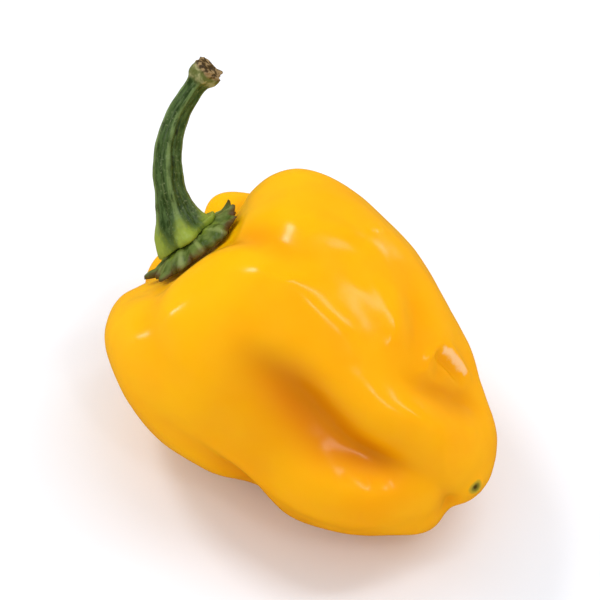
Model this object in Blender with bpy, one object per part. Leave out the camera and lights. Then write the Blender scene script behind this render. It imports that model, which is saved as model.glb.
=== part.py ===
"""A ripe yellow habanero pepper as picked: the pod, its calyx and its stem, lying on a flat surface.

Units are millimetres until a mesh is made, and +Z is up. Each piece starts as a UV sphere whose
vertices are moved onto the piece's own surface, so every piece is one closed body."""

import math

import bmesh
import bpy
import numpy as np
from mathutils import Vector

MM = 0.001

# The pepper lies with its axis pitched down towards the tip and rolled a little about itself.
# SEAT is where that axis starts, in the middle of the calyx's seat.
# A point of the pepper is (along the axis, upward, towards the front).
PITCH = math.radians(22.0)
ROLL = math.radians(0.4)
SEAT = (-18.3, 1.3, 25.0)
AXIS = np.array([math.cos(PITCH), 0, -math.sin(PITCH)])
UPWARD = np.array([math.sin(PITCH) * math.cos(ROLL), -math.sin(ROLL), math.cos(PITCH) * math.cos(ROLL)])
FRONT = np.array([-math.sin(PITCH) * math.sin(ROLL), -math.cos(ROLL), -math.cos(PITCH) * math.sin(ROLL)])

# The pod's outline, from the middle of its top, over the shoulder, to its tip:
# distance along the axis and distance from it.
POD_OUTLINE = (
    (1.8, 0.0), (1.5, 4.0), (0.7, 8.0), (0.2, 11.0), (1.0, 14.0), (3.2, 16.6), (7.4, 18.7),
    (13.0, 19.8), (19.0, 19.3), (25.0, 17.8), (31.0, 16.3), (36.0, 14.0), (40.0, 11.8),
    (43.5, 9.0), (46.0, 5.6), (47.4, 2.6), (47.8, 0.0),
)
# How far the pod's sections stand off the axis: distance along the axis, upward, towards the front.
POD_LEAN = ((-2.0, -0.8, 1.0), (14.0, -1.4, 1.4), (26.0, 0.0, 1.7), (38.0, 0.6, 3.7), (48.0, 2.4, 1.7))
# The top of the pod slopes: the axial shift per millimetre upward and towards the front,
# and where along the skin that slope starts to fade and ends.
TOP_SLOPE = (0.28, -0.06)
SLOPE_FADE = (7.0, 30.0)

# Folds and swellings of the skin. Each is a stroke over the surface: its width, then its points as
# distance along the skin from the middle of the top, degrees round the axis, height.
SHOULDER_FURROW_WIDTH = 2.9
SHOULDER_FURROW = ((8, -1.0), (12, -1.8), (17, -1.8), (22, -1.1), (27, -0.4))
# The furrows between the five shoulder lobes: degrees round the axis, and how deep against the one above.
SHOULDER_FURROWS = ((2.0, 0.9), (70.0, 0.4), (169.0, 1.2), (222.0, 1.0), (266.0, 1.0))
SKIN_STROKES = {
    "front valley": (
        5.5,
        (
            (24, 46, -0.4), (29, 46, -0.9), (34, 47, -1.6), (38, 49, -2.2),
            (42, 51, -2.4), (45, 51, -2.1), (49, 49, -1.4), (54, 44, -0.8),
        ),
    ),
    "valley floor": (
        3.0,
        (
            (30, 43, -0.5), (34, 43, -1.0), (38, 44, -1.5), (42, 47, -1.7),
            (45, 47, -1.5), (49, 44, -1.2), (53, 40, -1.0), (57, 38, -0.6),
        ),
    ),
    "valley edge": (
        2.6,
        (
            (29, 36, 0.2), (33, 31, 0.5), (37, 30, 0.6), (40, 33, 0.6),
            (43, 36, 0.6), (47, 36, 0.5), (51, 32, 0.3),
        ),
    ),
    "front crest": (
        2.7,
        (
            (20, 23, 0.3), (24, 17, 0.5), (29, 12, 0.9), (32, 14, 1.0),
            (35, 14, 1.1), (38, 14, 0.9), (42, 15, 0.4),
        ),
    ),
    "upper crest": (
        2.4,
        (
            (24, -12, 0.4), (28, -16, 0.8), (31, -19, 1.0), (34, -18, 1.1),
            (37, -13, 1.1), (40, -7, 1.0), (42, 0, 0.7), (44, 6, 0.3),
        ),
    ),
    "upper basin": (
        2.6,
        ((24, 6, -0.5), (27, 4, -0.7), (31, 2, -1.0), (35, 3, -1.1), (39, 6, -0.9), (42, 10, -0.5)),
    ),
    "outer crest": (
        3.0,
        ((27, -35, 0.3), (31, -36, 0.4), (35, -39, 0.4), (39, -38, 0.4), (43, -33, 0.3)),
    ),
    "back edge": (
        3.2,
        ((34, -60, 0.2), (40, -62, 0.0), (45, -60, -0.5), (50, -58, 0.7), (53, -57, 1.1), (57, -54, 0.5)),
    ),
    "outer groove": (
        2.4,
        ((30, -28, -0.2), (35, -28, -0.4), (39, -24, -0.4), (43, -14, -0.4), (46, -3, -0.3)),
    ),
    "right lobe": (
        3.4,
        (
            (38, 24, 0.4), (42, 25, 0.8), (46, 24, 1.1), (49, 22, 1.4),
            (53, 17, 1.6), (56, 14, 1.4), (60, 13, 0.9), (63, 17, 0.4),
        ),
    ),
    "upper lobe": (4.0, ((10, -52, 0.4), (14, -55, 1.1), (18, -57, 1.0), (22, -57, 0.4))),
    "waist": (
        2.6,
        (
            (46, 8, -0.4), (50, -1, -1.2), (54, -14, -1.5), (56, -30, -0.8),
            (54, -60, -0.3), (52, -90, -0.2),
        ),
    ),
    "lower crest": (
        3.6,
        (
            (36, 84, 0.3), (41, 87, 0.8), (45, 85, 1.1), (48, 81, 1.2),
            (51, 75, 1.2), (54, 69, 1.3), (57, 63, 1.1), (60, 56, 0.5),
        ),
    ),
    "lower bulge": (3.2, ((58, 92, 0.3), (61, 94, 0.7), (63, 98, 0.9), (65, 112, 0.7))),
    "under furrow": (
        2.7,
        ((25, 94, -0.4), (29, 93, -0.8), (34, 94, -1.1), (38, 102, -1.4), (41, 114, -1.3), (43, 130, -1.0)),
    ),
    "lower edge": (3.5, ((52, 118, -0.2), (56, 126, -0.8), (59, 124, -0.4))),
    "tip fold": (
        2.0,
        ((57, 37, -0.3), (61, 44, -0.7), (64, 58, -0.8), (66, 90, -0.6), (68, 135, -0.9), (68, 170, -0.8)),
    ),
    "belly furrow": (3.6, ((22, 178, -0.8), (28, 179, -1.8), (34, 180, -1.8), (41, 180, -0.8))),
    "belly, front side": (4.5, ((22, 156, 0.6), (28, 157, 1.4), (34, 158, 0.6))),
    "belly, back side": (4.5, ((22, 202, 0.6), (28, 202, 1.4), (34, 201, 0.6))),
    "hollow under the waist": (6.5, ((38, 180, -0.8), (45, 180, -3.0), (52, 180, -1.6))),
    "heel": (4.0, ((56, 178, 0.5), (61, 178, 1.0), (64, 178, 0.5))),
    "back lobe": (3.0, ((9, 242, 0.6), (13, 242, 1.8), (18, 242, 1.4), (24, 242, 0.4))),
}
# Small round forms: distance along the skin, degrees, width, height.
SKIN_SPOTS = {
    "dimple": (49.6, -15.0, 1.4, -0.5),
    "blossom scar": (66.8, 25.0, 1.2, 0.5),
}
POD_AROUND, POD_ALONG = 76, 48

# The calyx lies on the top of the pod: its middle as upward and towards the front of the pod's own,
# its rim's reach between teeth, and its teeth as degrees, width, further reach, and how far the tip
# curls up.
CALYX_MIDDLE = (0.7, -1.0)
CALYX_REACH = 5.5
CALYX_TEETH = (
    (-130, 9, 0.7, 0.4), (-105, 7, 1.3, 0.8), (-70, 8, 1.7, 1.3), (-50, 10, 1.5, 0.7), (-22, 15, 1.9, 0.2),
    (4, 9, 1.3, 0.1), (42, 7, 1.4, 0.1), (66, 11, 1.0, 0.0), (93, 12, 2.0, 0.0), (112, 8, 0.8, 0.2),
    (127, 7, 2.4, 0.5), (165, 12, 1.2, 0.4), (208, 13, 1.6, 0.3),
)
TOOTH_SHARPNESS = 1.4
# The share of the way to the rim where the teeth start to curl, and how late the calyx thins to its edge.
CURL_START = 0.7
EDGE_SHARPNESS = 8
# The wrinkles of the calyx's outer face: how many go round, height, and turn.
CALYX_WRINKLES = ((9, 0.22, 0.5), (13, 0.16, 2.2))
CALYX_THICKNESS = 1.2
CALYX_GAP = 0.45
CALYX_AROUND, CALYX_ALONG = 84, 14

# The stem: its middle line from the calyx to the cut, in the pepper's own directions, and its
# outline as distance along that line and radius.
STEM_LINE = (
    (-0.65, 0.1, 0.1), (-2.2, 0.55, -0.05), (-4.5, 1.6, -0.95), (-7.2, 3.1, -2.4), (-10.0, 4.9, -5.1),
    (-11.8, 7.4, -8.4), (-12.4, 10.6, -11.9), (-12.4, 12.8, -13.8),
)
STEM_OUTLINE = (
    (0.0, 0.0), (0.0, 2.2), (0.1, 3.7), (0.7, 4.0), (1.8, 3.3), (4.0, 2.4), (6.3, 1.95), (8.3, 1.83),
    (10.5, 1.72), (13.0, 1.58), (15.5, 1.42), (17.5, 1.34), (20.0, 1.27), (21.0, 1.4), (21.8, 1.8),
    (22.8, 1.9), (23.5, 1.65), (23.6, 0.9), (23.5, 0.0),
)
# The ribs along the stem: how many, where the first one is, and their height as a share of the
# radius, along the stem and at its foot, where they fade over this distance.
STEM_RIBS = 5
STEM_RIB_START = math.radians(37)
STEM_RIB_HEIGHT = 0.07
FOOT_RIB_HEIGHT = 0.10
FOOT_FADE = 4.0
STEM_AROUND, STEM_ALONG = 30, 40

# How finely curves and strokes are sampled.
CURVE_STEPS = 24
CURVE_POINTS = 300
STROKE_DABS = 40


def smooth_curve(points, count=CURVE_POINTS):
    """Evenly spaced points on a Catmull-Rom curve through the given ones."""
    points = np.array(points, float)
    ends = np.vstack([2 * points[0] - points[1], points, 2 * points[-1] - points[-2]])
    steps = np.linspace(0, 1, CURVE_STEPS, endpoint=False)[:, None]
    fine = []
    for i in range(1, len(ends) - 2):
        before, start, end, after = ends[i - 1 : i + 3]
        fine.extend(
            0.5
            * (
                2 * start
                + (end - before) * steps
                + (2 * before - 5 * start + 4 * end - after) * steps**2
                + (3 * start - before - 3 * end + after) * steps**3
            )
        )
    fine = np.array(fine + [points[-1]])
    run = distance_along(fine)
    wanted = np.linspace(0, run[-1], count)
    return np.column_stack([np.interp(wanted, run, fine[:, k]) for k in range(fine.shape[1])])


def distance_along(points):
    return np.concatenate([[0], np.cumsum(np.linalg.norm(np.diff(points, axis=0), axis=1))])


OUTLINE = smooth_curve(POD_OUTLINE)
OUTLINE_RUN = distance_along(OUTLINE)
OUTLINE_SLOPE = np.gradient(OUTLINE, OUTLINE_RUN, axis=0)
LEAN = smooth_curve(POD_LEAN)


def skin_base(along, angle):
    """Points and outward normals of the pod without its folds, at distances along the skin and angles."""
    axial = np.interp(along, OUTLINE_RUN, OUTLINE[:, 0])
    radius = np.interp(along, OUTLINE_RUN, OUTLINE[:, 1])
    axial_slope = np.interp(along, OUTLINE_RUN, OUTLINE_SLOPE[:, 0])
    radius_slope = np.interp(along, OUTLINE_RUN, OUTLINE_SLOPE[:, 1])
    up, front = np.cos(angle), np.sin(angle)
    lean_up = np.interp(axial, LEAN[:, 0], LEAN[:, 1])
    lean_front = np.interp(axial, LEAN[:, 0], LEAN[:, 2])
    fade = np.clip((SLOPE_FADE[1] - along) / (SLOPE_FADE[1] - SLOPE_FADE[0]), 0, 1)
    fade = fade * fade * (3 - 2 * fade)
    shift = fade * radius * (TOP_SLOPE[0] * up + TOP_SLOPE[1] * front)
    points = np.stack([axial + shift, radius * up + lean_up, radius * front + lean_front], -1)
    normals = np.stack(
        [
            -radius_slope,
            axial_slope * up + radius_slope * fade * TOP_SLOPE[0],
            axial_slope * front + radius_slope * fade * TOP_SLOPE[1],
        ],
        -1,
    )
    return points, normals / np.linalg.norm(normals, axis=-1, keepdims=True)


def stroke_height(points, width, path):
    """Height of one stroke at each base point: a row of Gaussian dabs, even along the path."""
    path = smooth_curve(path, STROKE_DABS)
    dabs, _ = skin_base(path[:, 0], np.radians(path[:, 1]))
    spacing = distance_along(dabs)[-1] / (len(dabs) - 1)
    total = np.zeros(len(points))
    for dab, height in zip(dabs, path[:, 2]):
        total += height * np.exp(-((points - dab) ** 2).sum(-1) / width**2)
    return total * spacing / (width * math.sqrt(math.pi))


def skin(along, angle):
    """Points of the pod's skin, folds included, and the normals of the skin without them."""
    points, normals = skin_base(along, angle)
    height = np.zeros(len(points))
    for degrees, share in SHOULDER_FURROWS:
        path = [(run, degrees, share * deep) for run, deep in SHOULDER_FURROW]
        height += stroke_height(points, SHOULDER_FURROW_WIDTH, path)
    for width, path in SKIN_STROKES.values():
        height += stroke_height(points, width, path)
    for run, degrees, width, tall in SKIN_SPOTS.values():
        centre, _ = skin_base(run, math.radians(degrees))
        height += tall * np.exp(-((points - centre) ** 2).sum(-1) / width**2)
    return points + normals * height[:, None], normals


def placed(points):
    """From the pepper's own directions to the world's."""
    return np.array(SEAT) + points @ np.array([AXIS, UPWARD, FRONT])


def wrap_sphere(name, around, along, place):
    """A mesh from a UV sphere, its vertices where place(share of the way to the far pole, angle) says."""
    sphere = bmesh.new()
    bmesh.ops.create_uvsphere(sphere, u_segments=around, v_segments=along, radius=1)
    unit = np.array([vertex.co for vertex in sphere.verts])
    share = np.arccos(np.clip(unit[:, 2], -1, 1)) / math.pi
    angle = np.arctan2(unit[:, 1], unit[:, 0])
    for vertex, co in zip(sphere.verts, place(share, angle)):
        vertex.co = Vector(co) * MM
    if sphere.calc_volume(signed=True) < 0:
        bmesh.ops.reverse_faces(sphere, faces=sphere.faces)
    mesh = bpy.data.meshes.new(name)
    sphere.to_mesh(mesh)
    sphere.free()
    mesh.shade_smooth()
    return mesh


def pod_surface(share, angle):
    points = placed(skin(share * OUTLINE_RUN[-1], angle)[0])
    points[:, 2] = np.maximum(points[:, 2], 0)
    return points


def tooth_sum(angle, column):
    """The teeth's reach (column 2) or curl (column 3) at each angle."""
    total = np.zeros(len(angle))
    for tooth in CALYX_TEETH:
        away = (np.degrees(angle) - tooth[0] + 180) % 360 - 180
        total += tooth[column] * np.exp(-np.abs(away / tooth[1]) ** TOOTH_SHARPNESS)
    return total


def calyx_surface(share, angle):
    """The first half of the sphere is the calyx's outer face, and the second its face on the pod."""
    rim = CALYX_REACH + tooth_sum(angle, 2)
    outward = np.minimum(share, 1 - share) * 2
    up = rim * outward * np.cos(angle) + CALYX_MIDDLE[0]
    front = rim * outward * np.sin(angle) + CALYX_MIDDLE[1]
    points, normals = skin(np.hypot(up, front), np.arctan2(front, up))
    curl = tooth_sum(angle, 3) * np.clip((outward - CURL_START) / (1 - CURL_START), 0, 1) ** 2
    wrinkle = sum(height * np.cos(count * angle + turn) for count, height, turn in CALYX_WRINKLES)
    thickness = CALYX_THICKNESS + wrinkle * outward**2
    thickness = thickness * np.sqrt(np.clip(1 - outward**EDGE_SHARPNESS, 0, 1))
    height = CALYX_GAP + curl + np.where(share < 0.5, thickness, 0)
    return placed(points + normals * height[:, None])


def stem_line():
    """Points along the stem's middle line with two directions across it, carried along without twist."""
    line = smooth_curve(STEM_LINE)
    ahead = np.gradient(line, axis=0)
    ahead /= np.linalg.norm(ahead, axis=1, keepdims=True)
    across = np.zeros_like(line)
    side = np.cross(ahead[0], [0.0, 0.0, 1.0])
    for i, direction in enumerate(ahead):
        side = side - direction * (side @ direction)
        side /= np.linalg.norm(side)
        across[i] = side
    return line, across, np.cross(ahead, across)


def stem_surface(share, angle):
    outline = smooth_curve(STEM_OUTLINE)
    shares = np.linspace(0, 1, len(outline))
    run = np.interp(share, shares, outline[:, 0])
    rib = STEM_RIB_HEIGHT + FOOT_RIB_HEIGHT * np.clip(1 - run / FOOT_FADE, 0, 1)
    ribbed = 1 + rib * np.cos(STEM_RIBS * (angle - STEM_RIB_START))
    radius = np.interp(share, shares, outline[:, 1]) * ribbed
    line, across, other = stem_line()
    runs = distance_along(line)
    middle, across, other = (
        np.stack([np.interp(run, runs, part[:, k]) for k in range(3)], -1) for part in (line, across, other)
    )
    spoke = across * np.cos(angle)[:, None] + other * np.sin(angle)[:, None]
    return placed(middle + spoke * radius[:, None])


def plain_material(name, colour, roughness):
    material = bpy.data.materials.new(name)
    material.use_nodes = True
    shader = material.node_tree.nodes["Principled BSDF"]
    shader.inputs["Base Color"].default_value = (*colour, 1)
    shader.inputs["Roughness"].default_value = roughness
    shader.inputs["Metallic"].default_value = 0
    return material


def pod():
    mesh = wrap_sphere("pod", POD_AROUND, POD_ALONG, pod_surface)
    mesh.materials.append(plain_material("waxy yellow skin", (0.93, 0.45, 0.01), 0.25))
    return bpy.data.objects.new("pod", mesh)


def calyx():
    mesh = wrap_sphere("calyx", CALYX_AROUND, CALYX_ALONG, calyx_surface)
    mesh.materials.append(plain_material("dark green calyx", (0.10, 0.15, 0.02), 0.55))
    return bpy.data.objects.new("calyx", mesh)


def stem():
    mesh = wrap_sphere("stem", STEM_AROUND, STEM_ALONG, stem_surface)
    mesh.materials.append(plain_material("green stem", (0.08, 0.13, 0.03), 0.45))
    return bpy.data.objects.new("stem", mesh)


def main():
    for obj in list(bpy.data.objects):
        bpy.data.objects.remove(obj)
    pepper = bpy.data.collections.new("habanero pepper")
    bpy.context.scene.collection.children.link(pepper)
    for piece in (pod(), calyx(), stem()):
        pepper.objects.link(piece)


if __name__ == "__main__":
    main()
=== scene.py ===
"""Fine meshes and materials for a ripe yellow habanero pepper: its pod, calyx and stem.

The meshes follow the surfaces of the solids that they stand for, from the same named values, with
the small relief that the solids leave out. Units are millimetres until a mesh, lamp or camera is
made, and +Z is up."""

import math

import bmesh
import bpy
import numpy as np
from mathutils import Matrix, Vector


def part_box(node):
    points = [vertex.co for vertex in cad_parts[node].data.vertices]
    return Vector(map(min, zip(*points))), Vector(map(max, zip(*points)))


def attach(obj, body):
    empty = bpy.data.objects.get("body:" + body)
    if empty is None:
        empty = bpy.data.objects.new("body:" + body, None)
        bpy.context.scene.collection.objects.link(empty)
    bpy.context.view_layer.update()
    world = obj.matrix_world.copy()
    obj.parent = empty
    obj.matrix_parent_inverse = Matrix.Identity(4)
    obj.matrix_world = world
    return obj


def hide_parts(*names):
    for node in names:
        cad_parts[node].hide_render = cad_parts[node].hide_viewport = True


MM = 0.001

# The values down to STROKE_DABS are the solids' own.

# The pepper lies with its axis pitched down towards the tip and rolled a little about itself.
# SEAT is where that axis starts, in the middle of the calyx's seat.
# A point of the pepper is (along the axis, upward, towards the front).
PITCH = math.radians(22.0)
ROLL = math.radians(0.4)
SEAT = (-18.3, 1.3, 25.0)
AXIS = np.array([math.cos(PITCH), 0, -math.sin(PITCH)])
UPWARD = np.array(
    [math.sin(PITCH) * math.cos(ROLL), -math.sin(ROLL), math.cos(PITCH) * math.cos(ROLL)]
)
FRONT = np.array(
    [-math.sin(PITCH) * math.sin(ROLL), -math.cos(ROLL), -math.cos(PITCH) * math.sin(ROLL)]
)

# The pod's outline, from the middle of its top, over the shoulder, to its tip:
# distance along the axis and distance from it.
POD_OUTLINE = (
    (1.8, 0.0), (1.5, 4.0), (0.7, 8.0), (0.2, 11.0), (1.0, 14.0), (3.2, 16.6), (7.4, 18.7),
    (13.0, 19.8), (19.0, 19.3), (25.0, 17.8), (31.0, 16.3), (36.0, 14.0), (40.0, 11.8),
    (43.5, 9.0), (46.0, 5.6), (47.4, 2.6), (47.8, 0.0),
)
# How far the pod's sections stand off the axis: distance along the axis, upward, towards the front.
POD_LEAN = (
    (-2.0, -0.8, 1.0), (14.0, -1.4, 1.4), (26.0, 0.0, 1.7), (38.0, 0.6, 3.7), (48.0, 2.4, 1.7),
)
# The top of the pod slopes: the axial shift per millimetre upward and towards the front,
# and where along the skin that slope starts to fade and ends.
TOP_SLOPE = (0.28, -0.06)
SLOPE_FADE = (7.0, 30.0)

# Folds and swellings of the skin. Each is a stroke over the surface: its width, then its points as
# distance along the skin from the middle of the top, degrees round the axis, height.
SHOULDER_FURROW_WIDTH = 2.9
SHOULDER_FURROW = ((8, -1.0), (12, -1.8), (17, -1.8), (22, -1.1), (27, -0.4))
# The furrows between the five shoulder lobes: degrees round the axis, and depth as a share of the
# one above.
SHOULDER_FURROWS = ((2.0, 0.9), (70.0, 0.4), (169.0, 1.2), (222.0, 1.0), (266.0, 1.0))
SKIN_STROKES = {
    "front valley": (
        5.5,
        (
            (24, 46, -0.4), (29, 46, -0.9), (34, 47, -1.6), (38, 49, -2.2),
            (42, 51, -2.4), (45, 51, -2.1), (49, 49, -1.4), (54, 44, -0.8),
        ),
    ),
    "valley floor": (
        3.0,
        (
            (30, 43, -0.5), (34, 43, -1.0), (38, 44, -1.5), (42, 47, -1.7),
            (45, 47, -1.5), (49, 44, -1.2), (53, 40, -1.0), (57, 38, -0.6),
        ),
    ),
    "valley edge": (
        2.6,
        (
            (29, 36, 0.2), (33, 31, 0.5), (37, 30, 0.6), (40, 33, 0.6),
            (43, 36, 0.6), (47, 36, 0.5), (51, 32, 0.3),
        ),
    ),
    "front crest": (
        2.7,
        (
            (20, 23, 0.3), (24, 17, 0.5), (29, 12, 0.9), (32, 14, 1.0),
            (35, 14, 1.1), (38, 14, 0.9), (42, 15, 0.4),
        ),
    ),
    "upper crest": (
        2.4,
        (
            (24, -12, 0.4), (28, -16, 0.8), (31, -19, 1.0), (34, -18, 1.1),
            (37, -13, 1.1), (40, -7, 1.0), (42, 0, 0.7), (44, 6, 0.3),
        ),
    ),
    "upper basin": (
        2.6,
        (
            (24, 6, -0.5), (27, 4, -0.7), (31, 2, -1.0),
            (35, 3, -1.1), (39, 6, -0.9), (42, 10, -0.5),
        ),
    ),
    "outer crest": (
        3.0,
        ((27, -35, 0.3), (31, -36, 0.4), (35, -39, 0.4), (39, -38, 0.4), (43, -33, 0.3)),
    ),
    "back edge": (
        3.2,
        (
            (34, -60, 0.2), (40, -62, 0.0), (45, -60, -0.5),
            (50, -58, 0.7), (53, -57, 1.1), (57, -54, 0.5),
        ),
    ),
    "outer groove": (
        2.4,
        ((30, -28, -0.2), (35, -28, -0.4), (39, -24, -0.4), (43, -14, -0.4), (46, -3, -0.3)),
    ),
    "right lobe": (
        3.4,
        (
            (38, 24, 0.4), (42, 25, 0.8), (46, 24, 1.1), (49, 22, 1.4),
            (53, 17, 1.6), (56, 14, 1.4), (60, 13, 0.9), (63, 17, 0.4),
        ),
    ),
    "upper lobe": (4.0, ((10, -52, 0.4), (14, -55, 1.1), (18, -57, 1.0), (22, -57, 0.4))),
    "waist": (
        2.6,
        (
            (46, 8, -0.4), (50, -1, -1.2), (54, -14, -1.5), (56, -30, -0.8),
            (54, -60, -0.3), (52, -90, -0.2),
        ),
    ),
    "lower crest": (
        3.6,
        (
            (36, 84, 0.3), (41, 87, 0.8), (45, 85, 1.1), (48, 81, 1.2),
            (51, 75, 1.2), (54, 69, 1.3), (57, 63, 1.1), (60, 56, 0.5),
        ),
    ),
    "lower bulge": (3.2, ((58, 92, 0.3), (61, 94, 0.7), (63, 98, 0.9), (65, 112, 0.7))),
    "under furrow": (
        2.7,
        (
            (25, 94, -0.4), (29, 93, -0.8), (34, 94, -1.1),
            (38, 102, -1.4), (41, 114, -1.3), (43, 130, -1.0),
        ),
    ),
    "lower edge": (3.5, ((52, 118, -0.2), (56, 126, -0.8), (59, 124, -0.4))),
    "tip fold": (
        2.0,
        (
            (57, 37, -0.3), (61, 44, -0.7), (64, 58, -0.8),
            (66, 90, -0.6), (68, 135, -0.9), (68, 170, -0.8),
        ),
    ),
    "belly furrow": (3.6, ((22, 178, -0.8), (28, 179, -1.8), (34, 180, -1.8), (41, 180, -0.8))),
    "belly, front side": (4.5, ((22, 156, 0.6), (28, 157, 1.4), (34, 158, 0.6))),
    "belly, back side": (4.5, ((22, 202, 0.6), (28, 202, 1.4), (34, 201, 0.6))),
    "hollow under the waist": (6.5, ((38, 180, -0.8), (45, 180, -3.0), (52, 180, -1.6))),
    "heel": (4.0, ((56, 178, 0.5), (61, 178, 1.0), (64, 178, 0.5))),
    "back lobe": (3.0, ((9, 242, 0.6), (13, 242, 1.8), (18, 242, 1.4), (24, 242, 0.4))),
}
# Small round forms: distance along the skin, degrees, width, height.
SKIN_SPOTS = {
    "dimple": (49.6, -15.0, 1.4, -0.5),
    "blossom scar": (66.8, 25.0, 1.2, 0.5),
}

# The calyx lies on the top of the pod: its middle as upward and towards the front of the pod's own,
# its rim's reach between teeth, and its teeth as degrees, width, further reach, and how far the tip
# curls up.
CALYX_MIDDLE = (0.7, -1.0)
CALYX_REACH = 5.5
CALYX_TEETH = (
    (-130, 9, 0.7, 0.4), (-105, 7, 1.3, 0.8), (-70, 8, 1.7, 1.3), (-50, 10, 1.5, 0.7),
    (-22, 15, 1.9, 0.2), (4, 9, 1.3, 0.1), (42, 7, 1.4, 0.1), (66, 11, 1.0, 0.0),
    (93, 12, 2.0, 0.0), (112, 8, 0.8, 0.2), (127, 7, 2.4, 0.5), (165, 12, 1.2, 0.4),
    (208, 13, 1.6, 0.3),
)
TOOTH_SHARPNESS = 1.4
# The share of the way to the rim where the teeth start to curl, and how late the calyx thins to
# its edge.
CURL_START = 0.7
EDGE_SHARPNESS = 8
# The wrinkles of the calyx's outer face: how many go round, height, and turn.
CALYX_WRINKLES = ((9, 0.22, 0.5), (13, 0.16, 2.2))
CALYX_THICKNESS = 1.2
CALYX_GAP = 0.45

# The stem: its middle line from the calyx to the cut, in the pepper's own directions, and its
# outline as distance along that line and radius.
STEM_LINE = (
    (-0.65, 0.1, 0.1), (-2.2, 0.55, -0.05), (-4.5, 1.6, -0.95), (-7.2, 3.1, -2.4),
    (-10.0, 4.9, -5.1), (-11.8, 7.4, -8.4), (-12.4, 10.6, -11.9), (-12.4, 12.8, -13.8),
)
STEM_OUTLINE = (
    (0.0, 0.0), (0.0, 2.2), (0.1, 3.7), (0.7, 4.0), (1.8, 3.3), (4.0, 2.4), (6.3, 1.95),
    (8.3, 1.83), (10.5, 1.72), (13.0, 1.58), (15.5, 1.42), (17.5, 1.34), (20.0, 1.27),
    (21.0, 1.4), (21.8, 1.8), (22.8, 1.9), (23.5, 1.65), (23.6, 0.9), (23.5, 0.0),
)
# The ribs along the stem: how many, where the first one is, and their height as a share of the
# radius, along the stem and at its foot, where they fade over this distance.
STEM_RIBS = 5
STEM_RIB_START = math.radians(37)
STEM_RIB_HEIGHT = 0.07
FOOT_RIB_HEIGHT = 0.10
FOOT_FADE = 4.0

# How finely curves and strokes are sampled.
CURVE_STEPS = 24
CURVE_POINTS = 300
STROKE_DABS = 40

# The values from here on are the looks' alone.

# How many of its widths away from its dabs a stroke is still worked out.
STROKE_REACH = 3.2

# Faces round and along each fine mesh.
POD_FACES = (380, 250)
CALYX_FACES = (360, 110)
STEM_FACES = (150, 300)

# Faint waves of the skin: wavelength and height. Every kind of wave runs in this many random
# directions, each with a random shift of its phase up to MAX_PHASE.
SKIN_WAVES = ((13.0, 0.10), (6.5, 0.035), (2.4, 0.010))
WAVE_DIRECTIONS = 7
MAX_PHASE = 6.28
SEED = 11

# Finer folds of the skin, as the solid's strokes and spots are given.
FINE_STROKES = {
    "crease": (
        1.1,
        (
            (44.6, 49, -0.1), (45.6, 47, -0.3), (49.4, 43, -0.45), (53.0, 37, -0.5),
            (56.7, 35, -0.4), (60.5, 37, -0.35), (64.7, 54, -0.3), (66.0, 75, -0.15),
        ),
    ),
    "upper crest's lowering": (
        2.6,
        (
            (29.0, -16, -0.1), (32.0, -17, -0.4), (35.0, -15, -0.6),
            (38.0, -10, -0.5), (41.0, -4, -0.1),
        ),
    ),
    "upper crest line": (
        0.7,
        (
            (33.5, -12, 0.04), (35.0, -10, 0.12), (36.4, -8, 0.14), (38.3, -5, 0.14),
            (40.2, -2, 0.14), (41.6, 2, 0.12), (42.4, 6, 0.04),
        ),
    ),
    "outer groove's filling": (
        2.4,
        (
            (27.0, -26, 0.1), (30.0, -27, 0.3), (33.5, -27, 0.4),
            (37.0, -26, 0.4), (40.5, -20, 0.3),
        ),
    ),
    "basin's filling": (
        2.8,
        (
            (25.0, 5, 0.3), (28.0, 4, 0.6), (31.0, 2, 1.0),
            (35.0, 2, 1.2), (39.0, 5, 0.8), (42.0, 9, 0.2),
        ),
    ),
    "right lobe line": (
        1.5,
        (
            (46.5, 20, 0.1), (48.5, 17, 0.35), (50.5, 13.5, 0.5), (52.7, 10, 0.5),
            (55.0, 7, 0.35), (57.0, 5, 0.1),
        ),
    ),
    "lower row": (
        2.0,
        (
            (44.5, 70, 0.1), (47.3, 65, 0.4), (51.0, 59, 0.5), (54.2, 52, 0.5),
            (55.8, 45, 0.35), (57.0, 40, 0.1),
        ),
    ),
    "above the lower row": (
        2.2,
        (
            (42.5, 62, -0.1), (45.5, 57, -0.35), (49.0, 51, -0.4),
            (52.0, 45, -0.4), (54.0, 40, -0.2),
        ),
    ),
    "waist line": (
        1.4,
        (
            (45.4, 10, -0.1), (47.5, 7, -0.3), (49.8, -1, -0.4), (52.8, -19, -0.5),
            (56.3, -32, -0.4), (59.3, -32, -0.2),
        ),
    ),
    "dimple's floor": (
        1.3,
        ((48.2, -14, -0.2), (49.4, -18, -0.35), (51.0, -22, -0.35), (52.2, -26, -0.2)),
    ),
    "dimple's wall": (
        0.8,
        (
            (47.2, -16, -0.2), (48.6, -20, -0.8), (50.0, -24, -0.9),
            (51.6, -28, -0.8), (53.2, -32, -0.3),
        ),
    ),
    "dimple's upper edge": (
        0.8,
        ((47.6, -27, 0.1), (49.4, -31, 0.25), (51.8, -36, 0.25), (54.0, -43, 0.1)),
    ),
    "dimple's rim": (
        0.5,
        (
            (50.4, -8, 0.05), (49.0, -7, 0.2), (47.9, -7, 0.25), (47.2, -10, 0.25),
            (47.2, -17, 0.25), (47.4, -23, 0.15),
        ),
    ),
    "dimple's spur": (0.35, ((47.2, -1, 0.05), (47.7, -3, 0.12), (48.1, -6, 0.12))),
    "dimple's lower rim": (
        0.6,
        ((49.8, -8, 0.1), (51.2, -14, 0.15), (52.9, -21, 0.15), (54.0, -27, 0.1)),
    ),
    "tip step": (0.9, ((54.6, 11, 0.06), (56.7, 17, 0.12), (59.5, 27, 0.08))),
}
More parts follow.
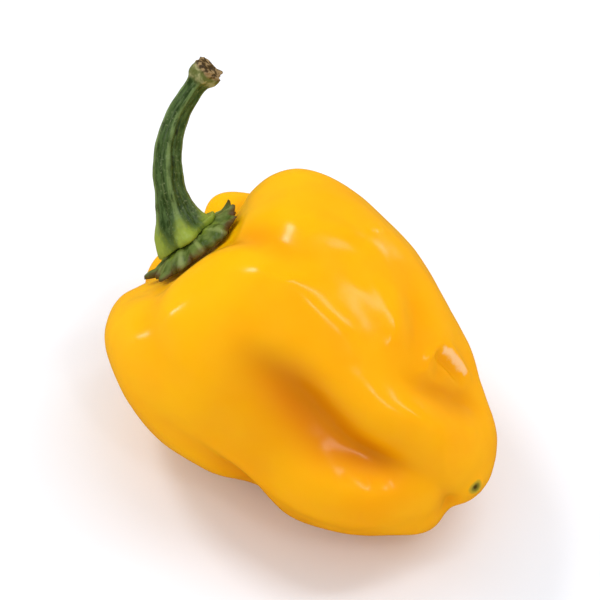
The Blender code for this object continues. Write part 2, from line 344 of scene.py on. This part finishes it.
FINE_SPOTS = {
    "dimple's upper tick": (48.4, -26.0, 0.35, -0.15),
    "dimple's lower tick": (50.2, -30.0, 0.35, -0.15),
    "lower gap 1": (49.1, 61.0, 1.0, -0.12),
    "lower gap 2": (52.6, 54.5, 0.9, -0.12),
    "lower gap 3": (55.0, 48.0, 0.8, -0.10),
    "shoulder bump 1": (20.0, 5.0, 1.0, 0.10),
    "shoulder bump 2": (27.0, 14.0, 0.8, 0.10),
    "upper bump": (31.5, -32.0, 2.4, 0.25),
    "upper bump 1": (31.0, -29.0, 0.8, 0.12),
    "upper bump 2": (32.0, -35.0, 0.7, 0.12),
    "tip bump": (58.6, -12.0, 1.1, 0.15),
    "scar's pit": (66.2, 24.0, 0.45, -0.3),
}
# The painted highlight on the dimple's far wall, a pale patch: width, then points as distance along
# the skin, degrees, and how pale.
PALE_WIDTH = 0.65
PALE_WALL = (
    (47.4, -22, 0.4), (48.5, -25, 1.0), (49.9, -29, 1.0), (51.4, -33, 1.0), (52.9, -37, 0.5),
)

# The middle of the blossom scar, and its rings from the outside in: the distances from that middle
# where each colour starts and is full.
SCAR = (66.2, 24.0)
SCAR_RINGS = (
    (1.4, 0.95, (0.5, 0.33, 0.02)),
    (0.95, 0.65, (0.2, 0.17, 0.02)),
    (0.65, 0.325, (0.06, 0.04, 0.004)),
)

# The calyx: how far its outer face stands up round the stem's foot, and from which radius that
# falls off over which distance. Its veins and the jags of its rim: how many go round, height, and
# turn. Its small waves: wavelength and height.
FOOT_COLLAR = 0.8
COLLAR_RADIUS, COLLAR_FALL = 3.7, 2.6
CALYX_VEINS = ((10, 0.10, 0.9), (23, 0.07, 0.0))
RIM_JAGS = ((19, 0.12, 1.0), (31, 0.10, 2.0), (47, 0.07, 0.3))
CALYX_WAVES = ((2.2, 0.10), (1.1, 0.06), (0.6, 0.025))

# The stem's fine ribs: how many, share of the radius, and turn. Its small waves: wavelength and
# height.
STEM_LINES = ((13, 0.015, 0.7), (21, 0.012, 2.0))
STEM_WAVES = ((3.0, 0.05), (0.9, 0.02))
# The groove with dark specks: angle, width, depth, and where along the stem it starts and ends,
# fading over this distance.
GROOVE_TURN = math.radians(348)
GROOVE_WIDTH = math.radians(10)
GROOVE_DEPTH = 0.10
GROOVE_START, GROOVE_END, GROOVE_FADE = 5.0, 20.0, 3.0
# The rough cut end: where it starts, the distance over which it grows rough, and its waves.
CUT_START, CUT_FADE = 22.4, 0.8
CUT_WAVES = ((1.4, 0.12), (0.55, 0.07))
# How fast the stem's streaks change along it, against across it.
STREAK_STRETCH = 0.2

# The pod's colours, each pair lighter and darker: at its top, further down, and the distances along
# the skin where one turns into the other. The top's lighter, yellower pair is partly the skin's
# own tone and partly painted light on the lit top. Then the painted shade of its folds, a deeper
# orange, with the heights of skin where that starts and is full, and the colour of the painted
# highlight on the dimple's far wall.
TOP_YELLOWS = ((0.96, 0.485, 0.002), (0.96, 0.45, 0.001))
BODY_YELLOWS = ((0.95, 0.425, 0.002), (0.93, 0.38, 0.001))
YELLOW_TURN = (10.0, 42.0)
FOLD_SHADE_ORANGE = (0.72, 0.23, 0.001)
FOLD_SHADE_HEIGHTS = (0.3, -3.0)
WALL_HIGHLIGHT_COLOUR = (0.93, 0.53, 0.22)

# The calyx's colours: its greens, its veins, round the stem's foot, and its rim.
CALYX_GREENS = ((0.045, 0.085, 0.008), (0.12, 0.17, 0.03))
VEIN_GREEN = (0.2, 0.26, 0.07)
CALYX_FOOT_GREEN = (0.2, 0.27, 0.03)
RIM_BROWN = (0.09, 0.045, 0.01)

# The stem's colours: its greens, the painted highlight on its ribs, and its flecks, with the share
# that each takes of them.
STEM_GREENS = ((0.016, 0.045, 0.005), (0.062, 0.115, 0.026))
RIB_HIGHLIGHT_GREEN, RIB_HIGHLIGHT_SHARE = (0.16, 0.24, 0.07), 0.8
FLECK_GREEN, FLECK_SHARE = (0.22, 0.27, 0.12), 0.4
SPECK_GREEN = (0.008, 0.02, 0.003)
# Its pale foot, the distances along the stem between which that fades, and how far the streaks draw
# that fade in and the ribs draw it out.
STEM_FOOT_GREEN = (0.24, 0.32, 0.03)
FOOT_LIMITS = (4.6, 1.6)
FOOT_STREAKS, FOOT_RIBS = 3.0, 1.3
# Its swollen joint and its cut: two colours each, and the distances where they start and are full.
JOINT_COLOURS = ((0.11, 0.13, 0.025), (0.32, 0.31, 0.13))
JOINT_LIMITS = (20.8, 21.9)
CUT_COLOURS = ((0.045, 0.025, 0.006), (0.3, 0.2, 0.09))
CUT_LIMITS = (22.7, 23.2)

# The camera: its angle round the pepper's axis from upward towards the front, the angle by which
# the axis dips in the picture, its distance, its sensor's width, and the nearest that it sees.
VIEW_AROUND = math.radians(32.4)
VIEW_DIP = math.radians(40.9)
CAMERA_DISTANCE = 800.0
SENSOR = 36.0
NEAREST = 10.0
# The photograph's side in pixels, and the size of a pixel at the pepper.
PHOTO_SIDE = 600
PHOTO_PIXEL = 0.25
# Where the photograph shows the calyx's seat and the pepper's middle, in pixels.
SEAT_PIXEL = (192, 384)
PEPPER_PIXEL = (245.5, 414)
# How many times closer than the photograph the picture is, from the same place.
CLOSER = 2.0

# Lights: where each comes from as the picture's right, up and towards the camera, its distance, its
# two sizes and its power in watts.
LIGHTS = {
    "window left": ((-0.45, 0.80, 0.40), 600.0, (130.0, 110.0), 0.85),
    "window right": ((0.47, 0.62, 0.63), 650.0, (90.0, 560.0), 1.15),
    "window low": ((0.28, 0.16, 0.95), 650.0, (60.0, 110.0), 0.22),
    "far left": ((-0.94, 0.32, 0.10), 650.0, (60.0, 200.0), 0.6),
    "right back": ((0.60, 0.58, -0.55), 650.0, (45.0, 45.0), 0.09),
}
# The sky: its colour and strength for what it lights, and for what is mirrored.
SKY_COLOUR, SKY_STRENGTH = (1.0, 1.0, 1.0), 0.8
MIRRORED_SKY_COLOUR, MIRRORED_SKY_STRENGTH = (1.0, 0.7, 0.2), 0.3
# The floor: its side, how far it lies under the pepper, and its colour as seen and as mirrored.
FLOOR_SIDE = 3000.0
FLOOR_DROP = 0.02
FLOOR_COLOUR = (0.87, 0.9, 0.96)
MIRRORED_FLOOR_COLOUR = (0.45, 0.25, 0.04)


def smooth_curve(points, count=CURVE_POINTS):
    """Evenly spaced points on a Catmull-Rom curve through the given ones."""
    points = np.array(points, float)
    ends = np.vstack([2 * points[0] - points[1], points, 2 * points[-1] - points[-2]])
    steps = np.linspace(0, 1, CURVE_STEPS, endpoint=False)[:, None]
    fine = []
    for i in range(1, len(ends) - 2):
        before, start, end, after = ends[i - 1 : i + 3]
        fine.extend(
            0.5
            * (
                2 * start
                + (end - before) * steps
                + (2 * before - 5 * start + 4 * end - after) * steps**2
                + (3 * start - before - 3 * end + after) * steps**3
            )
        )
    fine = np.array(fine + [points[-1]])
    run = distance_along(fine)
    wanted = np.linspace(0, run[-1], count)
    return np.column_stack([np.interp(wanted, run, fine[:, k]) for k in range(fine.shape[1])])


def distance_along(points):
    return np.concatenate([[0], np.cumsum(np.linalg.norm(np.diff(points, axis=0), axis=1))])


OUTLINE = smooth_curve(POD_OUTLINE)
OUTLINE_RUN = distance_along(OUTLINE)
OUTLINE_SLOPE = np.gradient(OUTLINE, OUTLINE_RUN, axis=0)
LEAN = smooth_curve(POD_LEAN)


def skin_base(along, angle):
    """Points and outward normals of the pod without its folds, at distances and angles."""
    axial = np.interp(along, OUTLINE_RUN, OUTLINE[:, 0])
    radius = np.interp(along, OUTLINE_RUN, OUTLINE[:, 1])
    axial_slope = np.interp(along, OUTLINE_RUN, OUTLINE_SLOPE[:, 0])
    radius_slope = np.interp(along, OUTLINE_RUN, OUTLINE_SLOPE[:, 1])
    up, front = np.cos(angle), np.sin(angle)
    lean_up = np.interp(axial, LEAN[:, 0], LEAN[:, 1])
    lean_front = np.interp(axial, LEAN[:, 0], LEAN[:, 2])
    fade = np.clip((SLOPE_FADE[1] - along) / (SLOPE_FADE[1] - SLOPE_FADE[0]), 0, 1)
    fade = fade * fade * (3 - 2 * fade)
    shift = fade * radius * (TOP_SLOPE[0] * up + TOP_SLOPE[1] * front)
    points = np.stack([axial + shift, radius * up + lean_up, radius * front + lean_front], -1)
    normals = np.stack(
        [
            -radius_slope,
            axial_slope * up + radius_slope * fade * TOP_SLOPE[0],
            axial_slope * front + radius_slope * fade * TOP_SLOPE[1],
        ],
        -1,
    )
    return points, normals / np.linalg.norm(normals, axis=-1, keepdims=True)


def stroke_height(points, width, path):
    """Height of one stroke at each base point: a row of Gaussian dabs, even along the path."""
    path = smooth_curve(path, STROKE_DABS)
    dabs, _ = skin_base(path[:, 0], np.radians(path[:, 1]))
    spacing = distance_along(dabs)[-1] / (len(dabs) - 1)
    reach = STROKE_REACH * width
    near = np.all((points > dabs.min(0) - reach) & (points < dabs.max(0) + reach), axis=-1)
    close = points[near]
    total = np.zeros(len(points))
    for dab, height in zip(dabs, path[:, 2]):
        total[near] += height * np.exp(-((close - dab) ** 2).sum(-1) / width**2)
    return total * spacing / (width * math.sqrt(math.pi))


def waves(points, kinds, seed):
    """Smooth random waves at each point: for each kind, its wavelength and height."""
    draw = np.random.default_rng(seed)
    total = np.zeros(len(points))
    for wavelength, height in kinds:
        for _ in range(WAVE_DIRECTIONS):
            direction = draw.normal(size=3)
            direction *= 2 * math.pi / wavelength / np.linalg.norm(direction)
            phase = draw.uniform(0, MAX_PHASE)
            total += height / math.sqrt(WAVE_DIRECTIONS) * np.cos(points @ direction + phase)
    return total


def skin(along, angle, fine=True):
    """Points of the pod's skin, folds included, the normals without them, and the folds' height."""
    points, normals = skin_base(along, angle)
    height = np.zeros(len(points))
    for degrees, share in SHOULDER_FURROWS:
        path = [(run, degrees, share * deep) for run, deep in SHOULDER_FURROW]
        height += stroke_height(points, SHOULDER_FURROW_WIDTH, path)
    strokes = [*SKIN_STROKES.values(), *(FINE_STROKES.values() if fine else ())]
    spots = [*SKIN_SPOTS.values(), *(FINE_SPOTS.values() if fine else ())]
    for width, path in strokes:
        height += stroke_height(points, width, path)
    for run, degrees, width, tall in spots:
        centre, _ = skin_base(run, math.radians(degrees))
        height += tall * np.exp(-((points - centre) ** 2).sum(-1) / width**2)
    wave = waves(points, SKIN_WAVES, SEED) if fine else 0
    return points + normals * (height + wave)[:, None], normals, height


def placed(points):
    """From the pepper's own directions to the world's."""
    return np.array(SEAT) + points @ np.array([AXIS, UPWARD, FRONT])


def wrap_sphere(name, around, along, place, node_name):
    """A closed mesh of rings and two poles, its vertices where place(share of the way, angle) says.

    place also gives a dict of values at each vertex, which the mesh keeps as attributes. The mesh
    stays inside the box of the CAD node that it stands for."""
    shares, angles = np.meshgrid(
        np.arange(1, along) / along, np.arange(around) * 2 * math.pi / around, indexing="ij"
    )
    share = np.concatenate([[0.0], shares.ravel(), [1.0]])
    angle = np.concatenate([[0.0], angles.ravel(), [0.0]])
    points, values = place(share, angle)
    low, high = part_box(node_name)
    points = np.clip(points * MM, np.array(low), np.array(high))
    near, far, last = 0, len(share) - 1, (along - 2) * around
    faces = []
    for i in range(around):
        j = (i + 1) % around
        faces.append((near, 1 + j, 1 + i))
        faces.append((far, 1 + last + i, 1 + last + j))
        for ring in range(along - 2):
            start = 1 + ring * around
            faces.append((start + i, start + j, start + around + j, start + around + i))
    mesh = bpy.data.meshes.new(name)
    mesh.from_pydata(points.tolist(), [], faces)
    check = bmesh.new()
    check.from_mesh(mesh)
    if check.calc_volume(signed=True) < 0:
        mesh.flip_normals()
    check.free()
    mesh.shade_smooth()
    for key, value in values.items():
        value = np.asarray(value, np.float32)
        kind, field = ("FLOAT", "value") if value.ndim == 1 else ("FLOAT_VECTOR", "vector")
        mesh.attributes.new(key, kind, "POINT").data.foreach_set(field, value.ravel())
    return mesh


def pod_surface(share, angle):
    along = share * OUTLINE_RUN[-1]
    points, _, height = skin(along, angle)
    scar = skin(np.array([SCAR[0]]), np.radians([SCAR[1]]))[0]
    pale = stroke_height(skin_base(along, angle)[0], PALE_WIDTH, PALE_WALL)
    values = {"fold": height, "run": along, "pale": pale}
    values["scar"] = np.linalg.norm(points - scar, axis=-1)
    return placed(points), values


def tooth_sum(angle, column):
    """The teeth's reach (column 2) or curl (column 3) at each angle."""
    total = np.zeros(len(angle))
    for tooth in CALYX_TEETH:
        away = (np.degrees(angle) - tooth[0] + 180) % 360 - 180
        total += tooth[column] * np.exp(-np.abs(away / tooth[1]) ** TOOTH_SHARPNESS)
    return total


def wrapped(angle):
    return (angle + math.pi) % (2 * math.pi) - math.pi


def round_waves(angle, kinds):
    """Waves that go round: for each kind, how many, height, and turn."""
    return sum(height * np.cos(count * angle + turn) for count, height, turn in kinds)


def calyx_surface(share, angle):
    """The sphere's first half is the calyx's outer face, and its second the face on the pod."""
    rim = CALYX_REACH + tooth_sum(angle, 2) + round_waves(angle, RIM_JAGS)
    outward = np.minimum(share, 1 - share) * 2
    up = rim * outward * np.cos(angle) + CALYX_MIDDLE[0]
    front = rim * outward * np.sin(angle) + CALYX_MIDDLE[1]
    points, normals, _ = skin(np.hypot(up, front), np.arctan2(front, up), fine=False)
    curl = tooth_sum(angle, 3) * np.clip((outward - CURL_START) / (1 - CURL_START), 0, 1) ** 2
    collar = FOOT_COLLAR * np.clip(1 - (rim * outward - COLLAR_RADIUS) / COLLAR_FALL, 0, 1)
    vein = round_waves(angle, CALYX_VEINS)
    relief = round_waves(angle, CALYX_WRINKLES) * outward**2 + vein * outward
    relief += waves(points, CALYX_WAVES, SEED + 1) * outward
    thickness = (CALYX_THICKNESS + relief) * np.sqrt(np.clip(1 - outward**EDGE_SHARPNESS, 0, 1))
    height = CALYX_GAP + curl + np.where(share < 0.5, thickness + collar, 0)
    return placed(points + normals * height[:, None]), {"outward": outward, "vein": vein}


def stem_line():
    """Points along the stem's middle line, with two directions across it that don't twist."""
    line = smooth_curve(STEM_LINE)
    ahead = np.gradient(line, axis=0)
    ahead /= np.linalg.norm(ahead, axis=1, keepdims=True)
    across = np.zeros_like(line)
    side = np.cross(ahead[0], [0.0, 0.0, 1.0])
    for i, direction in enumerate(ahead):
        side = side - direction * (side @ direction)
        side /= np.linalg.norm(side)
        across[i] = side
    return line, across, np.cross(ahead, across)


def stem_surface(share, angle):
    outline = smooth_curve(STEM_OUTLINE)
    shares = np.linspace(0, 1, len(outline))
    run = np.interp(share, shares, outline[:, 0])
    rib = STEM_RIB_HEIGHT + FOOT_RIB_HEIGHT * np.clip(1 - run / FOOT_FADE, 0, 1)
    ribbed = np.cos(STEM_RIBS * (angle - STEM_RIB_START))
    radius = np.interp(share, shares, outline[:, 1])
    radius = radius * (1 + rib * ribbed + round_waves(angle, STEM_LINES))
    groove = np.exp(-((wrapped(angle - GROOVE_TURN) / GROOVE_WIDTH) ** 2))
    groove *= np.clip((run - GROOVE_START) / GROOVE_FADE, 0, 1)
    groove *= np.clip((GROOVE_END - run) / GROOVE_FADE, 0, 1)
    line, across, other = stem_line()
    runs = distance_along(line)
    ahead = np.gradient(line, runs, axis=0)
    middle, across, other, ahead = (
        np.stack([np.interp(run, runs, part[:, k]) for k in range(3)], -1)
        for part in (line, across, other, ahead)
    )
    spoke = across * np.cos(angle)[:, None] + other * np.sin(angle)[:, None]
    points = middle + spoke * radius[:, None]
    relief = waves(points, STEM_WAVES, SEED + 2) * np.clip(radius, 0, 1) - GROOVE_DEPTH * groove
    rough = waves(points, CUT_WAVES, SEED + 3) * np.clip((run - CUT_START) / CUT_FADE, 0, 1)
    outward = relief + rough * np.clip(radius, 0, 1)
    points = points + spoke * outward[:, None] + ahead * rough[:, None]
    streak = np.stack([np.cos(angle) * radius, np.sin(angle) * radius, run * STREAK_STRETCH], -1)
    return placed(points), {"run": run, "rib": ribbed, "streak": streak, "groove": groove}


def new_material(name, **values):
    """A material and its node tree, with the shader's plain values by socket name."""
    material = bpy.data.materials.new(name)
    material.use_nodes = True
    shader = material.node_tree.nodes["Principled BSDF"]
    for key, value in values.items():
        shader.inputs[key.replace("_", " ")].default_value = value
    return material, material.node_tree, shader


def node(tree, kind, inputs=(), **settings):
    """A new node with its settings, and its inputs by name or number as values or sockets."""
    made = tree.nodes.new("ShaderNode" + kind)
    for key, value in settings.items():
        setattr(made, key, value)
    for key, value in dict(inputs).items():
        if isinstance(value, bpy.types.NodeSocket):
            tree.links.new(value, made.inputs[key])
        else:
            made.inputs[key].default_value = value
    return made


def attribute(tree, name, output="Fac"):
    return node(tree, "Attribute", attribute_name=name).outputs[output]


def ramp(tree, value, low, high):
    """0 where value is low and 1 where it is high, smoothly between."""
    limits = {"Value": value, "From Min": low, "From Max": high}
    return node(tree, "MapRange", limits, interpolation_type="SMOOTHSTEP").outputs["Result"]


def maths(tree, operation, *values):
    return node(tree, "Math", dict(enumerate(values)), operation=operation).outputs[0]


def mix(tree, factor, first, second):
    """A colour between two, each a socket or an (r, g, b)."""
    first, second = ((*c, 1) if isinstance(c, tuple) else c for c in (first, second))
    made = node(tree, "Mix", {"Factor": factor, 6: first, 7: second}, data_type="RGBA")
    return made.outputs[2]


def noise(tree, place, scale, detail=3.0, roughness=0.5):
    inputs = {"Vector": place, "Scale": scale, "Detail": detail, "Roughness": roughness}
    return node(tree, "TexNoise", inputs).outputs["Fac"]


def ragged(tree, value, place, scale, amount):
    """value with noise added, so that what follows it gets an uneven edge."""
    return maths(tree, "ADD", value, maths(tree, "MULTIPLY", noise(tree, place, scale), amount))


def bump(tree, shader, height, strength, distance):
    made = node(tree, "Bump", {"Height": height, "Strength": strength, "Distance": distance})
    tree.links.new(made.outputs["Normal"], shader.inputs["Normal"])


def uneven_gloss(tree, shader, value, low, high):
    """The shader's roughness: from low where value is 0 to high where it is 1."""
    made = node(tree, "MapRange", {"Value": value, "To Min": low, "To Max": high})
    tree.links.new(made.outputs["Result"], shader.inputs["Roughness"])


def pod_material():
    material, tree, shader = new_material(
        "waxy yellow skin",
        IOR=1.28,
        Subsurface_Weight=0.2,
        Subsurface_Scale=0.004,
        Subsurface_Radius=(1.0, 0.45, 0.05),
    )
    place = node(tree, "TexCoord").outputs["Object"]
    blotch = ramp(tree, noise(tree, place, scale=90.0), low=0.35, high=0.7)
    top = mix(tree, blotch, *TOP_YELLOWS)
    body = mix(tree, blotch, *BODY_YELLOWS)
    # From the top's lighter, yellower pair to the body's: partly the skin's own tone, partly
    # painted light on the lit top.
    colour = mix(tree, ramp(tree, attribute(tree, "run"), *YELLOW_TURN), top, body)
    # Painted shade: a deeper orange where the skin's folds sink.
    colour = mix(tree, ramp(tree, attribute(tree, "fold"), *FOLD_SHADE_HEIGHTS), colour, FOLD_SHADE_ORANGE)
    # Painted highlight: a pale, ragged patch on the dimple's far wall.
    wall_highlight = ragged(tree, attribute(tree, "pale"), place, scale=1200.0, amount=1.0)
    colour = mix(tree, ramp(tree, wall_highlight, low=0.85, high=1.35), colour, WALL_HIGHLIGHT_COLOUR)
    scar = ragged(tree, attribute(tree, "scar"), place, scale=1500.0, amount=0.3)
    for start, full, tint in SCAR_RINGS:
        colour = mix(tree, ramp(tree, scar, start, full), colour, tint)
    tree.links.new(colour, shader.inputs["Base Color"])
    uneven_gloss(tree, shader, noise(tree, place, scale=300.0), low=0.1, high=0.28)
    bump(tree, shader, noise(tree, place, scale=500.0), strength=0.25, distance=0.00008)
    return material


def calyx_material():
    material, tree, shader = new_material("wrinkled green calyx", IOR=1.35)
    place = node(tree, "TexCoord").outputs["Object"]
    outward = attribute(tree, "outward")
    blotch = ramp(tree, noise(tree, place, scale=700.0), low=0.35, high=0.65)
    colour = mix(tree, blotch, *CALYX_GREENS)
    vein = ramp(tree, attribute(tree, "vein"), low=0.02, high=0.17)
    colour = mix(tree, vein, colour, VEIN_GREEN)
    colour = mix(tree, ramp(tree, outward, low=0.72, high=0.5), colour, CALYX_FOOT_GREEN)
    rim = ragged(tree, outward, place, scale=450.0, amount=0.22)
    colour = mix(tree, ramp(tree, rim, low=1.02, high=1.13), colour, RIM_BROWN)
    tree.links.new(colour, shader.inputs["Base Color"])
    uneven_gloss(tree, shader, blotch, low=0.35, high=0.6)
    bump(tree, shader, noise(tree, place, scale=1800.0), strength=0.5, distance=0.0002)
    return material


def stem_material():
    material, tree, shader = new_material("ridged green stem", IOR=1.35)
    place = node(tree, "TexCoord").outputs["Object"]
    run, rib = attribute(tree, "run"), attribute(tree, "rib")
    streak_place = attribute(tree, "streak", "Vector")
    streak = noise(tree, streak_place, scale=2.6, detail=5.0, roughness=0.6)
    colour = mix(tree, ramp(tree, streak, low=0.35, high=0.65), *STEM_GREENS)
    # Painted highlight: lighter green along the crests of the ribs.
    rib_highlight = ramp(tree, rib, low=0.55, high=1.0)
    rib_highlight = maths(tree, "MULTIPLY", rib_highlight, ramp(tree, streak, low=0.2, high=0.6))
    colour = mix(tree, maths(tree, "MULTIPLY", rib_highlight, RIB_HIGHLIGHT_SHARE), colour, RIB_HIGHLIGHT_GREEN)
    fleck = ramp(tree, noise(tree, place, scale=2600.0, detail=2.0), low=0.58, high=0.72)
    colour = mix(tree, maths(tree, "MULTIPLY", fleck, FLECK_SHARE), colour, FLECK_GREEN)
    speck = ramp(tree, noise(tree, place, scale=650.0), low=0.42, high=0.6)
    speck = maths(tree, "MULTIPLY", attribute(tree, "groove"), speck)
    colour = mix(tree, speck, colour, SPECK_GREEN)
    foot = maths(tree, "ADD", run, maths(tree, "MULTIPLY", streak, FOOT_STREAKS))
    foot = maths(tree, "SUBTRACT", foot, maths(tree, "MULTIPLY", rib, FOOT_RIBS))
    colour = mix(tree, ramp(tree, foot, *FOOT_LIMITS), colour, STEM_FOOT_GREEN)
    for limits, tints, scale in (
        (JOINT_LIMITS, JOINT_COLOURS, 900.0),
        (CUT_LIMITS, CUT_COLOURS, 1500.0),
    ):
        patch = ramp(tree, noise(tree, place, scale), low=0.4, high=0.6)
        colour = mix(tree, ramp(tree, run, *limits), colour, mix(tree, patch, *tints))
    tree.links.new(colour, shader.inputs["Base Color"])
    uneven_gloss(tree, shader, streak, low=0.25, high=0.6)
    bump(tree, shader, noise(tree, place, scale=2000.0), strength=0.4, distance=0.0002)
    return material


def piece(name, node_name, faces, place, material):
    """A piece of the looks: its faces round and along, its surface and its material."""
    mesh = wrap_sphere(name, *faces, place, node_name)
    mesh.materials.append(material)
    made = bpy.data.objects.new(name, mesh)
    bpy.context.scene.collection.objects.link(made)
    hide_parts(node_name)
    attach(made, "root")


def floor():
    mesh = bpy.data.meshes.new("floor")
    half = FLOOR_SIDE / 2 * MM
    corners = [(-half, -half), (half, -half), (half, half), (-half, half)]
    mesh.from_pydata([(x, y, -FLOOR_DROP * MM) for x, y in corners], [], [(0, 1, 2, 3)])
    material, tree, shader = new_material("white table", Roughness=0.6, Specular_IOR_Level=0.2)
    mirrored = node(tree, "LightPath").outputs["Is Glossy Ray"]
    colour = mix(tree, mirrored, FLOOR_COLOUR, MIRRORED_FLOOR_COLOUR)
    tree.links.new(colour, shader.inputs["Base Color"])
    mesh.materials.append(material)
    made = bpy.data.objects.new("floor", mesh)
    bpy.context.scene.collection.objects.link(made)


def picture_axes():
    """The picture's right and up and the way back to the camera, in the world."""
    around = math.cos(VIEW_AROUND) * UPWARD + math.sin(VIEW_AROUND) * FRONT
    quarter_on = VIEW_AROUND + math.pi / 2
    down = math.cos(quarter_on) * UPWARD + math.sin(quarter_on) * FRONT
    right = math.cos(VIEW_DIP) * AXIS - math.sin(VIEW_DIP) * down
    up = -math.sin(VIEW_DIP) * AXIS - math.cos(VIEW_DIP) * down
    return Vector(right), Vector(up), Vector(around)


def pixel_place(pixel):
    """The world point at the seat's depth that the photograph shows at a pixel."""
    right, up, _ = picture_axes()
    x, y = ((a - b) * PHOTO_PIXEL for a, b in zip(pixel, SEAT_PIXEL))
    return Vector(SEAT) + right * x - up * y


def camera():
    right, up, back = picture_axes()
    data = bpy.data.cameras.new("camera")
    data.sensor_width = SENSOR
    data.lens = SENSOR * CAMERA_DISTANCE / (PHOTO_SIDE * PHOTO_PIXEL) * CLOSER
    data.clip_start = NEAREST * MM
    made = bpy.data.objects.new("camera", data)
    bpy.context.scene.collection.objects.link(made)
    place = pixel_place((PHOTO_SIDE / 2, PHOTO_SIDE / 2)) + back * CAMERA_DISTANCE
    back = (place - pixel_place(PEPPER_PIXEL)).normalized()
    right = up.cross(back).normalized()
    up = back.cross(right)
    turn = Matrix((right, up, back)).transposed()
    made.matrix_world = Matrix.Translation(place * MM) @ turn.to_4x4()
    bpy.context.scene.camera = made


def lights():
    right, up, back = picture_axes()
    middle = pixel_place(PEPPER_PIXEL)
    for name, (way, distance, size, power) in LIGHTS.items():
        data = bpy.data.lights.new(name, "AREA")
        data.shape = "RECTANGLE"
        data.size, data.size_y = (side * MM for side in size)
        data.energy = power
        made = bpy.data.objects.new(name, data)
        bpy.context.scene.collection.objects.link(made)
        towards = (right * way[0] + up * way[1] + back * way[2]).normalized()
        made.location = (middle + towards * distance) * MM
        made.rotation_mode = "QUATERNION"
        made.rotation_quaternion = towards.to_track_quat("Z", "Y")
    world = bpy.data.worlds.new("sky")
    bpy.context.scene.world = world
    world.use_nodes = True
    tree = world.node_tree
    mirrored = node(tree, "LightPath").outputs["Is Glossy Ray"]
    sky = tree.nodes["Background"]
    tree.links.new(mix(tree, mirrored, SKY_COLOUR, MIRRORED_SKY_COLOUR), sky.inputs["Color"])
    strengths = {"Factor": mirrored, "A": SKY_STRENGTH, "B": MIRRORED_SKY_STRENGTH}
    strength = node(tree, "Mix", strengths, data_type="FLOAT").outputs["Result"]
    tree.links.new(strength, sky.inputs["Strength"])


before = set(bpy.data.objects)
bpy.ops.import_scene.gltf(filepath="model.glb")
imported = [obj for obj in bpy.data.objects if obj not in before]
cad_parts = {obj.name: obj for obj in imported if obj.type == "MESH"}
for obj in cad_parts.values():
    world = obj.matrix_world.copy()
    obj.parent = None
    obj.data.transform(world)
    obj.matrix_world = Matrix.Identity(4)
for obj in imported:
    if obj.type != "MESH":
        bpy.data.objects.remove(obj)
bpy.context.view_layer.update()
piece("pod_skin", "pod", POD_FACES, pod_surface, pod_material())
piece("calyx_leaf", "calyx", CALYX_FACES, calyx_surface, calyx_material())
piece("stem_stalk", "stem", STEM_FACES, stem_surface, stem_material())
floor()
camera()
lights()
bpy.context.scene.view_settings.view_transform = "Standard"
bpy.context.view_layer.update()
